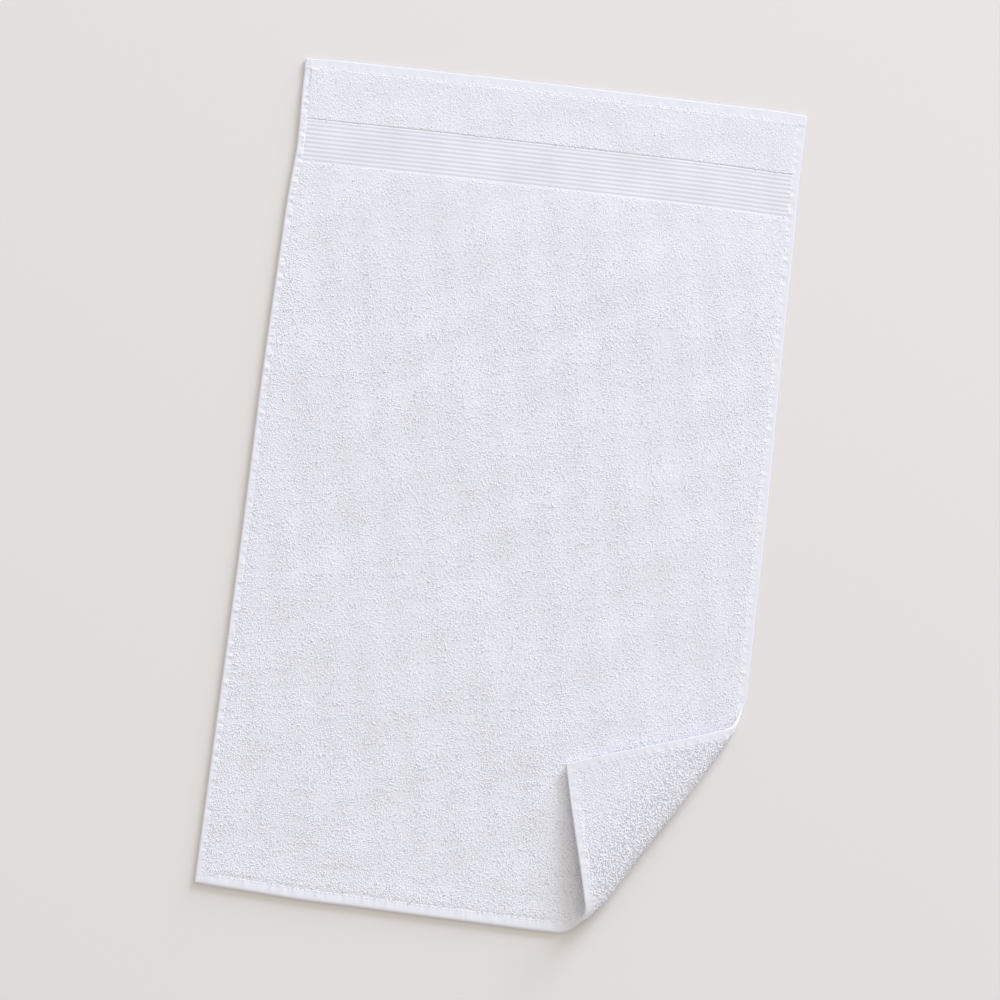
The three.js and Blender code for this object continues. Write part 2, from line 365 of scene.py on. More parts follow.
def per_hem(values, depths):
    """The hems' numbers, with as many axes as an array that has one layer for each hem."""
    return np.reshape(values, (-1,) + (1,) * (np.ndim(depths) - 1))


def hem(name, turn):
    """A number for each hem, which changes from that on the floor to that on the flap."""
    share = smooth(np.asarray(turn, dtype=float), 0.0, 1.0)[None]
    on_floor, on_flap = [per_hem(row, share) for row in HEMS[name]]
    return on_floor * (1 - share) + on_flap * share


# %% [markdown]
# ## Relief of the ground cloth
#
# The ground cloth carries everything that isn't a loop:
#
# - a **hem** is three layers of cloth, thick and round at the edge, and slopes to its stitches,
# - the **border** is woven flat, with ribs 6 mm apart that run from hem to hem. A groove parts it
#   from the pile above, and its ends droop, because the side hems were sewn with a little pull,
# - under the **pile** the cloth is thin, and the floor and the wash leave it slightly uneven. The
#   border lies on the same unevenness, or a wall would show where the two meet.
#
# A height that depends on distance gives all of this in one function. A separate strip for each
# hem would leave gaps, and a hem is part of its cloth.

# %% Sizes of the relief
RIB_PITCH = 6.05
FIRST_RIB = 87.5
RIB_COUNT = 9
RIB_HEIGHT = 0.225
NARROW_RIB = 0.8  # height of the narrow first rib, as a share of the others'
# The droop of the border's two ends, as bells across the towel: at, drop and reach.
DROOPS = [(TOP_LEFT[0], 1.9, 150), (TOP_RIGHT[0], 3.1, 85)]
BORDER_GROOVE, BORDER_GROOVE_WIDTH = 0.7, 0.6
SEAM_GROOVE, SEAM_GROOVE_WIDTH = 0.2, 1.0
SEAM_RIDGE, RIDGE_PLACE, RIDGE_WIDTH = 0.1, 0.86, 0.09  # place and width as shares of the hem
LIFT_REACH = 32.0
DIP_FROM, DIP_TO = -3.0, 7.0  # from the seam, inwards

UNEVEN_WAVES = [
    # wavelength, direction in degrees, phase, height
    (310.0, 74, 0.4, 0.24),
    (233.0, -18, 2.1, 0.22),
    (151.0, 38, 1.3, 0.20),
    (97.0, 112, 3.9, 0.20),
    (71.0, -52, 5.2, 0.18),
    (53.0, 12, 0.9, 0.15),
]


# %% The uneven lie of the cloth
def wave(points, length, angle, phase):
    """A sine of this length over the cloth, along one direction."""
    run = points[..., 0] * np.cos(angle) + points[..., 1] * np.sin(angle)
    return np.sin(2 * np.pi * run / length + phase)


def unevenness(points):
    """Sum of long low waves, each along its own direction."""
    return sum(
        height * wave(points, length, np.radians(degrees), phase)
        for length, degrees, phase, height in UNEVEN_WAVES
    )


# %% The border
def droop(points):
    """How far the border hangs from its straight run."""
    return bells(DROOPS, points[..., 0])


def ribs(down):
    """Ribs as a cosine wave, after a narrow first one beside the pile."""
    ridges = (1 + np.cos(2 * np.pi * (down - FIRST_RIB) / RIB_PITCH)) / 2
    first = FIRST_RIB - RIB_PITCH / 2
    last = FIRST_RIB + (RIB_COUNT - 0.5) * RIB_PITCH
    inside = smooth(down, first - 0.3, first + 0.3) * (1 - smooth(down, last - 0.8, last + 0.8))
    narrow = np.sin(np.pi * np.clip((down - BORDER_START) / (first - BORDER_START), 0, 1))
    return RIB_HEIGHT * (ridges * inside + NARROW_RIB * narrow)


def in_border(down):
    """1 on the border and 0 off it, with a soft step at each end."""
    below_start = smooth(down, BORDER_START - 1.2, BORDER_START)
    return below_start * (1 - smooth(down, BORDER_END - 0.5, BORDER_END + 3))


# %% The hems and the corners
def nearest_hem(values, shares):
    """One number for each point: that of the hem which the point is nearest to.

    A side hem goes over an end hem, so the side hem's number holds in the corners.
    """
    sides_win = np.concatenate([np.where(shares[:2] < 1, shares[:2] - 1, shares[:2]), shares[2:]])
    return np.asarray(values)[sides_win.argmin(axis=0)]


def hem_fall(shares, falls):
    """How far a hem lies under its height: fall * share^2 inwards, or for a rise (1 - share)."""
    share = np.clip(shares.min(axis=0), 0, 1)
    fall = nearest_hem(falls, shares)
    return np.where(fall > 0, fall * share**2, -fall * (1 - share))


def hem_height(depths, shares, turn):
    """Thickness of the nearest hem. A tall side hem comes down to meet the top hem."""
    nearest = nearest_hem(np.arange(4), shares)[None]
    own = np.take_along_axis(hem("height", turn), nearest, axis=0)[0]
    drop = 1 - smooth(depths[2], TOP_HEM + 1, CORNER_REACH)
    return own - CORNER_DROP * (own > TALL_HEM) * drop


def corner_square(depths):
    """The step up where a side hem goes over the top hem, as far as their seams."""
    sides = 1 - smooth((depths[:2] - per_hem(CORNER_WIDTHS, depths)).min(axis=0), 0, 1.4)
    ends = 1 - smooth(depths[2], TOP_HEM + 0.4, TOP_HEM + 1.8)
    return CORNER_STEP * sides * ends


# %% Heights of the face and of the reverse
def face_height(points, depths, turn):
    """Height of the face over the floor or over the reverse."""
    widths = hem("width", turn)
    shares, past_seams = depths / widths, depths - widths
    ground = GROUND + unevenness(points) * smooth(shares.min(axis=0), 1.0, 5.0)
    lifts = per_hem(PILE_LIFTS, depths) * (1 - smooth(past_seams, 0, LIFT_REACH))
    dips = per_hem(SEAM_DIPS, depths) * (1 - smooth(past_seams, DIP_FROM, DIP_TO))
    ground = ground + lifts.max(axis=0) - dips.max(axis=0)
    down = depths[2] - droop(points)
    inner = ground + (ribs(down) - BORDER_DROP) * in_border(down)
    inner = inner - BORDER_GROOVE * bell(down - BORDER_START + 1.0, BORDER_GROOVE_WIDTH)
    blend = smooth(past_seams.min(axis=0), -0.8, 0.5)
    over_hem = hem_height(depths, shares, turn) - hem_fall(shares, HEMS["fall"][0])
    return over_hem * (1 - blend) + inner * blend + corner_square(depths)


def rounded(height, depths, turn):
    """Heights of the face and the reverse near an edge, which part at its outermost line.

    The top is a quarter ellipse. Under a bulge of 1 the bottom is one too, and under a bulge of
    0 it slopes evenly down to the floor, as where a stiff hem stands off the floor a little.
    """
    nearest = depths.argmin(axis=0)[None]

    def own(name):
        """The nearest hem's number at each point."""
        return np.take_along_axis(hem(name, turn), nearest, axis=0)[0]

    def curve_over(rounds, bulge):
        """From 0 at the edge to 1 where its round ends: a line, plus bulge times a bow."""
        share = np.clip((depths / hem(rounds, turn)).min(axis=0), 0, 1)
        return share + bulge * (np.sqrt(1 - (1 - share) ** 2) - share)

    middle = own("middle") * np.minimum(height, max(HEMS["height"][0]))
    under = curve_over("under_round", own("under_bulge"))
    return middle + (height - middle) * curve_over("round", 1), middle * (1 - under)


def reverse_height(depths, turn):
    """How far the ground cloth lies in from the reverse of the solid, where the corner is up."""
    widths = hem("width", turn)
    shares, nearest = depths / widths, (depths - widths).min(axis=0)
    share = shares.min(axis=0)
    under_loops = REVERSE_INSET * smooth(nearest, -0.5, 4.0)
    ridge = SEAM_RIDGE * bell(share - RIDGE_PLACE, RIDGE_WIDTH)
    under_hem = (hem_fall(shares, HEMS["fall"][1]) - ridge) * (share < 1)
    seam = SEAM_GROOVE * bell(nearest - 0.6, SEAM_GROOVE_WIDTH)
    return (under_loops + under_hem + seam) * smooth(turn, 0.02, 0.2)


# %% [markdown]
# ## The ground cloth as one sheet
#
# The sheet is a grid of sections. They lie straight across the towel as far as the border, fan
# round until they are parallel to the fold, and go round the roll and out to the tip. Rows and
# columns crowd at the hems and on the ribs, where the relief needs them. A plain square grid, cut
# to the outline, would have steps along every slanted edge.

# %% Rows and columns
HEM_STEPS = np.array([
    0, 0.012, 0.03, 0.06, 0.11, 0.2, 0.35, 0.52, 0.7, 0.8, 0.88, 0.94, 1.0, 1.06, 1.13, 1.2, 1.3
])
INNER_COLUMNS = 60
MAX_HEM_SHARE = 0.1
FAN_SECTIONS = 20
FAN_DETAIL = 6
LAST_TURN = 1.8  # the last section is bent all the way onto the two hems


def columns_across(length, near_hem, far_hem):
    """Shares of each section's length: crowded over the two hems, even between them."""
    near, far = [
        np.minimum(width / length, MAX_HEM_SHARE)[:, None] for width in (near_hem, far_hem)
    ]
    first = HEM_STEPS * near
    last = 1 - HEM_STEPS[::-1] * far
    even = np.linspace(0, 1, INNER_COLUMNS + 2)[1:-1]
    inner = first[:, -1:] + (last[:, :1] - first[:, -1:]) * even
    return np.hstack([first, inner, last])


def flat_rows(edge, places, right_places, near_hem):
    """Sections from places on an edge to places on the right one, as points in plan."""
    start = edge.at(places)
    run = right.at(right_places) - start
    length = np.linalg.norm(run, axis=1)
    direction = run / length[:, None]
    near = near_hem / (direction * edge.inward).sum(axis=1)
    far = -SIDE_HEM / (direction @ right.inward)
    shares = columns_across(length, near, far)
    return start[:, None] + shares[..., None] * run[:, None]


def fold_rows(turns):
    """Sections on the roll and flap, bent towards the tip. Returns along and turn."""
    start, end = end_hem_at(turns), side_hem_at(turns)
    near, far = END_HEM / abs(ALONG @ bottom.inward), SIDE_HEM / abs(ALONG @ right.inward)
    shares = columns_across(start - end, near, far)
    turn = turns[:, None]
    bend = (np.maximum(turn - 1, 0) / (LAST_TURN - 1)) ** 2
    ahead = turn + (2 - turn) * (1 - np.abs(2 * shares - 1))
    at_hem = np.where(shares < 0.5, end_hem_at(ahead), side_hem_at(ahead))
    straight = start[:, None] + shares * (end - start)[:, None]
    return straight + (at_hem - straight) * bend, turn + (ahead - turn) * bend


# %% The sections on the floor
hem_rows = HEM_STEPS * TOP_HEM
pile_rows = np.linspace(hem_rows[-1], BORDER_START - 4, 9)[1:]
groove_rows = np.arange(BORDER_START - 3, BORDER_START + 4, 0.35)
border_rows = np.arange(BORDER_START + 4, BORDER_END + 6, 0.75)
downs = np.concatenate([hem_rows, pile_rows, groove_rows, border_rows])

left_run = left.length - downs[-1]
corner_step = round(FAN_SECTIONS * left_run / (left_run + bottom.length))
fan = np.arange(1, FAN_SECTIONS * FAN_DETAIL + 1) / FAN_DETAIL
on_left = fan <= corner_step
left_places = downs[-1] + left_run * fan[on_left] / corner_step
bottom_places = bottom.length * (fan[~on_left] - corner_step) / (FAN_SECTIONS - corner_step)
right_places = downs[-1] + (right.length - downs[-1]) * fan / FAN_SECTIONS

straight = flat_rows(left, downs, downs, SIDE_HEM)
bow_share = (1 - smooth(downs, 0, TOP_BOW_FADE))[:, None]
straight[..., 1] += bow_share * top.out(straight[..., 0] - TOP_LEFT[0])
fan_left = flat_rows(left, left_places, right_places[on_left], SIDE_HEM)
fan_bottom = flat_rows(bottom, bottom_places, right_places[~on_left], END_HEM)
floor_points = np.concatenate([straight, fan_left, fan_bottom])

# %% The sections on the roll and the flap
roll_turns = np.arange(1, 25) / 24
tip_turns = np.array([
    1.66, 1.68, 1.7, 1.715, 1.73, 1.743, 1.755, 1.766, 1.776, 1.785, 1.792, 1.797, LAST_TURN
])
flap_turns = np.concatenate([np.arange(1.025, 1.65, 0.025), tip_turns])
fold_along, fold_turn = fold_rows(np.concatenate([roll_turns, flap_turns]))
print("ground cloth:", len(floor_points) + len(fold_along), "rows of", floor_points.shape[1])


# %% The two sides of the sheet
# The first row and the last one are edges, so their depths are set to exactly 0.
floor_depths = depth_on_floor(floor_points)
floor_depths[2, 0] = 0
fold_depths = depth_on_fold(fold_along, fold_turn)
fold_depths[1, -1] = 0
cloth_depths = np.maximum(np.concatenate([floor_depths, fold_depths], axis=1), 0)
cloth_turn = np.concatenate([np.zeros(floor_points.shape[:2]), fold_turn])
cloth_place = np.concatenate([floor_points, unrolled(fold_along, fold_turn)])

face = face_height(cloth_place, cloth_depths, cloth_turn)
face, reverse = rounded(face, cloth_depths, cloth_turn)
reverse = np.minimum(np.maximum(reverse, reverse_height(cloth_depths, cloth_turn)), face)

UP = np.array([0.0, 0.0, 1.0])
floor_base = raised(floor_points)
floor_up = np.broadcast_to(UP, floor_base.shape)
base = np.concatenate([floor_base, fold_point(fold_along, fold_turn)])
up = np.concatenate([floor_up, fold_normal(fold_along, fold_turn)])
face_side = base + up * face[..., None]
reverse_side = base + up * reverse[..., None]

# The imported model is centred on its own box, so the same shift puts the cloth on it.
surface = np.stack([face_side, base])
low, high = surface.min(axis=(0, 1, 2)), surface.max(axis=(0, 1, 2))
SHIFT = (cad_low + cad_high) / 2 / MM - (low + high) / 2
SHIFT[2] = 0
print("shift onto the packed model, mm:", np.round(SHIFT, 2))


# %% [markdown]
# ## From arrays to a mesh
#
# `foreach_set` copies whole arrays into the mesh, so a hundred thousand faces take a moment. The
# sheet's two sides share their outline. That closes it, so that light, shadow and volume agree
# on what is inside the cloth.


# %% Mesh helpers
def make_mesh(name, points, faces):
    """An object from points in millimetres and faces that all have the same number of corners."""
    faces = np.asarray(faces, dtype=np.int32)
    mesh = bpy.data.meshes.new(name)
    mesh.vertices.add(len(points))
    mesh.vertices.foreach_set("co", ((points + SHIFT) * MM).astype(np.float32).ravel())
    mesh.loops.add(faces.size)
    mesh.loops.foreach_set("vertex_index", faces.ravel())
    mesh.polygons.add(len(faces))
    starts = np.arange(0, faces.size, faces.shape[1], dtype=np.int32)
    mesh.polygons.foreach_set("loop_start", starts)
    mesh.polygons.foreach_set("use_smooth", np.ones(len(faces), dtype=bool))
    mesh.update(calc_edges=True)
    mesh.validate()
    piece = bpy.data.objects.new(name, mesh)
    bpy.context.collection.objects.link(piece)
    return piece


def set_uv(piece, name, corners):
    """A UV map from one pair of numbers for each corner of each face."""
    layer = piece.data.uv_layers.new(name=name)
    layer.data.foreach_set("uv", np.ascontiguousarray(corners, dtype=np.float32).ravel())


def set_number(piece, name, values):
    """A number at each vertex, which a material can read."""
    data = piece.data.attributes.new(name, "FLOAT", "POINT")
    data.data.foreach_set("value", np.ascontiguousarray(values, dtype=np.float32).ravel())


# %% The ground cloth
index = np.arange(base[..., 0].size).reshape(base.shape[:2])
rim = np.zeros(index.shape, dtype=bool)
rim[[0, -1]] = True
rim[:, [0, -1]] = True
reverse_index = index.size + np.cumsum(~rim.ravel()).reshape(index.shape) - 1
reverse_index = np.where(rim, index, reverse_index)


def cells(grid):
    """The four corners of every cell of a grid, seen from the side of its normal."""
    corners = [grid[:-1, :-1], grid[1:, :-1], grid[1:, 1:], grid[:-1, 1:]]
    return np.stack(corners, axis=-1).reshape(-1, 4)


cloth_points = np.concatenate([face_side.reshape(-1, 3), reverse_side[~rim]])
cloth_faces = np.concatenate([cells(index), cells(reverse_index)[:, ::-1]])
cloth = make_mesh("towel_cloth", cloth_points, cloth_faces)
print("ground cloth:", len(cloth_faces), "faces")

# %% What the sheet's material needs to know at each point
flat_place = cloth_place.reshape(-1, 2) * MM
both_sides = np.concatenate([cells(index), cells(index)[:, ::-1]])
set_uv(cloth, "ClothMetres", flat_place[both_sides])


def set_on_sheet(name, face, reverse):
    """A number on the face, and on the reverse at the points that the two don't share."""
    set_number(cloth, name, np.concatenate([face.ravel(), reverse[~rim]]))


# The middle of the ramp of colours is the border's, and the border doesn't show on the reverse.
cloth_widths = hem("width", cloth_turn)
on_hem = 1 - smooth((cloth_depths - cloth_widths).min(axis=0), -0.5, 1.0)
woven = np.maximum(on_hem, 0.5 * in_border(cloth_depths[2] - droop(cloth_place)))
near_edge = cloth_depths.min(axis=0) < 60
set_on_sheet("woven_flat", woven, woven * near_edge)

shares = cloth_depths / cloth_widths
on_side_hem = shares[:2].min(axis=0) < shares[2:].min(axis=0)
along_hem = np.where(on_side_hem, cloth_place[..., 1], cloth_place[..., 0]) * MM
set_on_sheet("along_hem", along_hem, along_hem)

# Puckers grow towards the stitches, stop at them and fade in a corner, where two hems meet.
share, next_share = np.sort(shares, axis=0)[:2]
near_seam = smooth(share, 0.15, 0.8) * (1 - smooth(share, 0.97, 1.1))
near_seam = near_seam * smooth(next_share, 1.1, 3.0) * nearest_hem(PUCKERS, shares)
set_on_sheet("near_seam", near_seam, near_seam)
print("share of the face that is woven flat:", round(float(woven.mean()), 2))

# %% [markdown]
# ## The loops of the pile
#
# Terry is woven with a slack warp that stands up in loops, about two millimetres high. Washed
# loops twist and fall over, so from above the pile is a mat of short curled strokes that point
# everywhere, with small dark gaps between them.
#
# Hair particles could stand in for them, but they are strands with cut ends. Here each loop is a
# short closed tube that rises out of the ground cloth, bends to one side and goes back in. One
# template of a few points is bent into all of them at once. Real loops are under a millimetre
# wide and number over a million, so each of these is drawn about three times as coarse and
# stands for a small tuft.


# %% A loop, bent into many
from types import SimpleNamespace


def loop_template(rings, sides):
    """Ring positions from -1 to 1, corner angles, and the triangles of a closed tube."""
    steps = np.linspace(-1, 1, rings + 2)[1:-1]
    angles = np.pi / 2 + 2 * np.pi * np.arange(sides) / sides
    grid = 2 + np.arange(rings * sides).reshape(rings, sides)
    after = np.roll(grid, -1, axis=1)
    first = np.stack([grid[:-1], after[:-1], after[1:]], axis=-1)
    second = np.stack([grid[:-1], after[1:], grid[1:]], axis=-1)
    start = np.stack([0 * grid[0], after[0], grid[0]], axis=-1)
    end = np.stack([0 * grid[0] + 1, grid[-1], after[-1]], axis=-1)
    faces = np.concatenate([first.reshape(-1, 3), second.reshape(-1, 3), start, end])
    return steps, angles, faces[:, ::-1]


def bend_loops(stand, shape, template):
    """Tubes on an arch: x = length t / 2, y = bend (1 - t^2), z = rise sqrt(1 - t^2) - sink.

    stand holds the foot of each loop, its normal and its direction on the cloth. shape holds one
    array for each size. The tubes lean to the side by lean times their height, and curl by a sine.
    """
    base, up, heading = stand
    steps, angles, faces = template
    side = np.cross(up, heading)
    side /= np.linalg.norm(side, axis=1, keepdims=True)
    front = np.cross(side, up)

    t = np.concatenate([[-1.0, 1.0], np.repeat(steps, len(angles))])
    turn = np.concatenate([[0.0, 0.0], np.tile(angles, len(steps))])
    thick = np.concatenate([[0.0, 0.0], np.ones(len(steps) * len(angles))])
    arch = np.sqrt(np.clip(1 - t * t, 0, 1))
    swell = thick * (0.55 + 0.45 * arch)

    size = SimpleNamespace(**{name: values[:, None] for name, values in shape.items()})
    slope = -2 * size.bend * t / (size.length / 2)
    square = 1 / np.sqrt(1 + slope**2)
    outward = size.width / 2 * swell * np.cos(turn)
    z = size.rise * arch - size.sink + size.thick / 2 * swell * np.sin(turn)
    x = size.length / 2 * t - outward * slope * square
    y = size.bend * (1 - t * t) + outward * square + size.lean * size.rise * arch
    y = y + size.curl * np.sin(np.pi * t)
    points = base[:, None] + x[..., None] * front[:, None] + y[..., None] * side[:, None]
    points = points + z[..., None] * up[:, None]
    count, corners = points.shape[:2]
    all_faces = faces[None] + corners * np.arange(count)[:, None, None]
    return points.reshape(-1, 3), all_faces.reshape(-1, 3), corners


# %% One mesh of many loops
def bake_corners(count, template):
    """A small square of the bake map for each loop, with its faces side by side in it."""
    face_count = len(template[2])
    across = int(np.ceil(np.sqrt(count)))
    face_rows = int(np.ceil(np.sqrt(face_count)))

    def squares(number, columns):
        """Column and row of each of so many squares."""
        return np.stack([np.arange(number) % columns, np.arange(number) // columns], axis=1)

    triangle = np.array([[0.1, 0.1], [0.9, 0.1], [0.5, 0.9]])
    in_square = (squares(face_count, face_rows)[:, None] + triangle) / face_rows
    return (squares(count, across)[:, None, None] + 0.05 + 0.9 * in_square) / across


def make_pile(name, stand, shape, template, shade):
    """One piece of pile: a joined mesh of loops, each with its own shade."""
    points, faces, corners = bend_loops(stand, shape, template)
    piece = make_mesh(name, points, faces)
    set_uv(piece, "OFBake", bake_corners(len(shade), template))
    set_number(piece, "shade", np.repeat(shade, corners))
    print(f"{name}: {len(shade)} loops, {len(faces)} triangles")
    return piece


# %% [markdown]
# ## Where the loops stand
#
# A weave puts its loops on a grid. After washing they look scattered but still evenly spaced, so
# each starts on a honeycomb of points and is moved a little at random. Neighbours lean much the
# same way, as combed by the last fold or hand that touched them: a slow random field sets the
# direction, and each loop turns from it by a chance angle.

# %% Scattering
random = np.random.default_rng(41)
JITTER = 0.13  # how far a loop is off its grid point, as a share of the pitch


def honeycomb(low, high, pitch):
    """Points of a triangular grid over a box, each moved by a normal random step."""
    rise = pitch * np.sqrt(3) / 2
    xs = np.arange(low[0], high[0], pitch)
    ys = np.arange(low[1], high[1], rise)
    grid_x, grid_y = np.meshgrid(xs, ys)
    grid_x = grid_x + (np.arange(len(ys)) % 2)[:, None] * pitch / 2
    points = np.stack([grid_x.ravel(), grid_y.ravel()], axis=1)
    return points + random.normal(0, JITTER * pitch, points.shape)


def slow_field(points, wavelength, count=14):
    """Smooth random numbers around 0: a sum of sine waves in random directions."""
    total = np.zeros(points.shape[:-1])
    for angle, phase in random.uniform(0, 2 * np.pi, (count, 2)):
        total += wave(points, wavelength * random.uniform(0.7, 1.6), angle, phase)
    return total / np.sqrt(count / 2)


def loop_angles(points, wavelength, spread):
    """Headings from a slow field of angles, with a chance turn for each loop."""
    return np.pi * slow_field(points, wavelength) + random.normal(0, spread, len(points))


def loop_shapes(count, size, spread=0.18):
    """Arrays of sizes around the given ones, each loop with its own."""
    either = np.where(random.random(count) < 0.5, -1, 1)
    spreads = dict(length=spread, width=0.12, thick=0.12, rise=0.25, bend=0.4)
    shapes = {
        name: size[name] * np.exp(random.normal(0, by, count)) for name, by in spreads.items()
    }
    shapes["bend"] = shapes["bend"] * either
    for name in ("lean", "curl"):
        shapes[name] = random.normal(0, size[name], count)
    return shapes | {"sink": np.full(count, size["sink"])}


def pick(arrays, chosen):
    """The chosen rows of several arrays, or of every array in a dictionary."""
    if isinstance(arrays, dict):
        return {name: values[chosen] for name, values in arrays.items()}
    return [values[chosen] for values in arrays]


# %% Loops on the face
FACE_PITCH = 3.77
FACE_LOOP = dict(
    length=3.6, width=1.58, thick=0.85, rise=0.57, bend=0.9, lean=0.3, curl=0.0, sink=0.38
)
FACE_PIECES = 4
PILE_EDGES = HEMS["width"][0] - np.array([0, 0, 3, 0])  # how far inside each edge loops begin

spots = honeycomb(floor_points.min(axis=(0, 1)), floor_points.max(axis=(0, 1)), FACE_PITCH)
spot_depths = depth_on_floor(spots)
past_fold = (spots - FOLD_START) @ ACROSS + roll_radius((spots - FOLD_START) @ ALONG)
# No row of loops ends on an exact line, so each has its own limit, in millimetres.
ragged = random.normal(0, 0.9, len(spots))
clear_of_hems = (spot_depths - PILE_EDGES[:, None]).min(axis=0) > -0.5 + 0.5 * ragged
spot_down = spot_depths[2] - droop(spots)
above_border = spot_down < BORDER_START - 1.4 + 0.6 * ragged
below_border = spot_down > BORDER_END + 1.2 + 0.6 * ragged
keep = clear_of_hems & (above_border | below_border) & (past_fold < 2)
spots, spot_depths, spot_down = spots[keep], spot_depths[:, keep], spot_down[keep]

feet = raised(spots, face_height(spots, spot_depths, np.zeros(len(spots))))
angles = loop_angles(spots, 20, 0.9)
heading = raised(np.stack([np.cos(angles), np.sin(angles)], axis=1))
stand = feet, np.broadcast_to(UP, feet.shape), heading
shapes = loop_shapes(len(spots), FACE_LOOP)
print("loops on the face:", len(spots))

# %% How high the loops on the face stand
# The pile lies flattest near the bordered end, and flatter on the right than on the left. The
# tight weave of the border pushes up the last loops before it, and since a weave has rows, long
# low streaks run across the towel. Each gain goes with the places between which it sets in.
TOP_SHARE, MIDDLE_GAIN, MIDDLE_REACH = 0.58, 0.42, (90, 350)
BOTTOM_GAIN, BOTTOM_REACH = 0.1, (700, 1000)
RIGHT_GAIN, RIGHT_REACH = -0.14, (60, 240)
BORDER_GAIN, BORDER_REACH = 0.4, (BORDER_START - 8, BORDER_START - 3)
STREAK_GAIN, STREAK_WIDTH, STREAK_SQUEEZE = 0.12, 14, [0.22, 1.0]

rise = TOP_SHARE + MIDDLE_GAIN * smooth(spot_depths[2], *MIDDLE_REACH)
rise = rise + BOTTOM_GAIN * smooth(spot_depths[2], *BOTTOM_REACH)
rise = rise * (1 + RIGHT_GAIN * smooth(spots[:, 0], *RIGHT_REACH))
beside_border = smooth(spot_down, *BORDER_REACH) * (spot_down < BORDER_START)
rise = rise * (1 + BORDER_GAIN * beside_border)
rise = rise * (1 + STREAK_GAIN * slow_field(spots * STREAK_SQUEEZE, STREAK_WIDTH))
shapes["rise"] = shapes["rise"] * rise
shade = random.random(len(spots))
face_template = loop_template(2, 3)

pile = []
order = np.argsort(spot_depths[2])
for number, part in enumerate(np.array_split(order, FACE_PIECES), start=1):
    pile.append(make_pile(
        f"face_loops_{number}", pick(stand, part), pick(shapes, part), face_template, shade[part],
    ))

# %% [markdown]
# ## Loops on the folded corner
#
# On the folded corner the reverse is on top. Its loops are finer and closer together. Nothing has
# pressed them, so they curl, and where the cloth bends round the roll they stand open like the
# spines of a brush. They get the same template with more rings. The face is inside the fold and
# can be seen from the side, so it has loops too.

# %% Loops on the reverse, round the roll and over the flap
REVERSE_PITCH = 3.05
REVERSE_LOOP = FACE_LOOP | dict(length=3.4, width=1.27, rise=0.33, curl=0.15, sink=0.3)
ROLL_GAINS = dict(length=0.25, thick=0.2, rise=1.1, bend=0.3)
UNROLLED_LOW, UNROLLED_HIGH = (-60.0, 0.0), (400.0, 240.0)  # a box round it, along and path
FIRST_TURN = 0.1  # under the roll the reverse is too close to the floor to be seen
FLOOR_GAP = 0.3


def fold_spots(pitch, clearance, first_turn=-1.0):
    """Points scattered over the unrolled fold, as along, turn, depths and place on it."""
    flat = honeycomb(UNROLLED_LOW, UNROLLED_HIGH, pitch)
    along, path = flat.T
    turn = turn_at(path, along)
    depths = depth_on_fold(along, np.minimum(turn, 1.99))
    clear = (depths - hem("width", turn)).min(axis=0) > clearance
    keep = clear & (turn < 1.99) & (turn > first_turn)
    return along[keep], turn[keep], depths[:, keep], flat[keep]


def heading_on_fold(along, turn, angles):
    """A direction on the cloth: cosine parts of the tangent down the roll and round it."""
    down = down_roll(along, turn)
    down = down / np.linalg.norm(down, axis=1, keepdims=True)
    across = np.cross(fold_normal(along, turn), down)
    return np.cos(angles)[:, None] * down + np.sin(angles)[:, None] * across


along, turn, depths, flat = fold_spots(REVERSE_PITCH, 0.9, FIRST_TURN)
normal = fold_normal(along, turn)
feet = fold_point(along, turn) + normal * reverse_height(depths, turn)[:, None]
angles = loop_angles(flat, 20, 0.5)
shapes = loop_shapes(len(along), REVERSE_LOOP)
near_roll = 1 - smooth(turn, 0.9, 1.6)
for name, gain in ROLL_GAINS.items():
    shapes[name] = shapes[name] * (1 + gain * near_roll)

# Under the roll the floor is near, and loops there are pressed as low as the room allows.
heading = heading_on_fold(along, turn, angles)
sideways = np.abs(np.cross(normal, heading)[:, 2])
dip = 0.4 * shapes["length"] * np.abs(heading[:, 2])
dip = dip + (np.abs(shapes["bend"]) + shapes["width"] / 2) * sideways
room = (feet[:, 2] - dip) / np.maximum(normal[:, 2], 1e-3) - FLOOR_GAP
needed = shapes["rise"] + shapes["thick"] / 2
share = np.clip(room / needed, 0, 1)
for name in ("rise", "thick", "sink"):
    shapes[name] = shapes[name] * share
free = share > 0.25
reverse_pile = make_pile(
    "reverse_loops", pick([feet, -normal, heading], free), pick(shapes, free),
    loop_template(4, 3), random.random(free.sum()),
)

# %% Loops inside the fold
along, turn, depths, flat = fold_spots(FACE_PITCH, 1.2)
normal = fold_normal(along, turn)
feet = fold_point(along, turn)
feet = feet + normal * face_height(unrolled(along, turn), depths, turn)[:, None]
heading = heading_on_fold(along, turn, loop_angles(flat, 34, 0.55))
inner_pile = make_pile(
    "inner_loops", [feet, normal, heading], loop_shapes(len(along), FACE_LOOP),
    face_template, random.random(len(along)),
)
pile += [reverse_pile, inner_pile]

# %% [markdown]
# ## Stitches
#
# A lockstitch seam holds each hem down. It is a row of short bright dashes, each a length of
# thread between two needle holes, sunk at its ends. The same kind of tube draws them, long and
# straight, at the real stitch length.

# %% Stitches along the hems
STITCH_PITCH = 5.8
STITCH = dict(
    length=4.2, width=0.75, thick=0.5, rise=0.3, bend=0.05, lean=0.0, curl=0.0, sink=0.15
)
SEAM_SHARE = 0.9  # where a seam runs, as a share of its hem's width
SEAM_END = 4.0
FOLD_SEAM = (0.15, 1.78)  # the turns between which the reverse shows


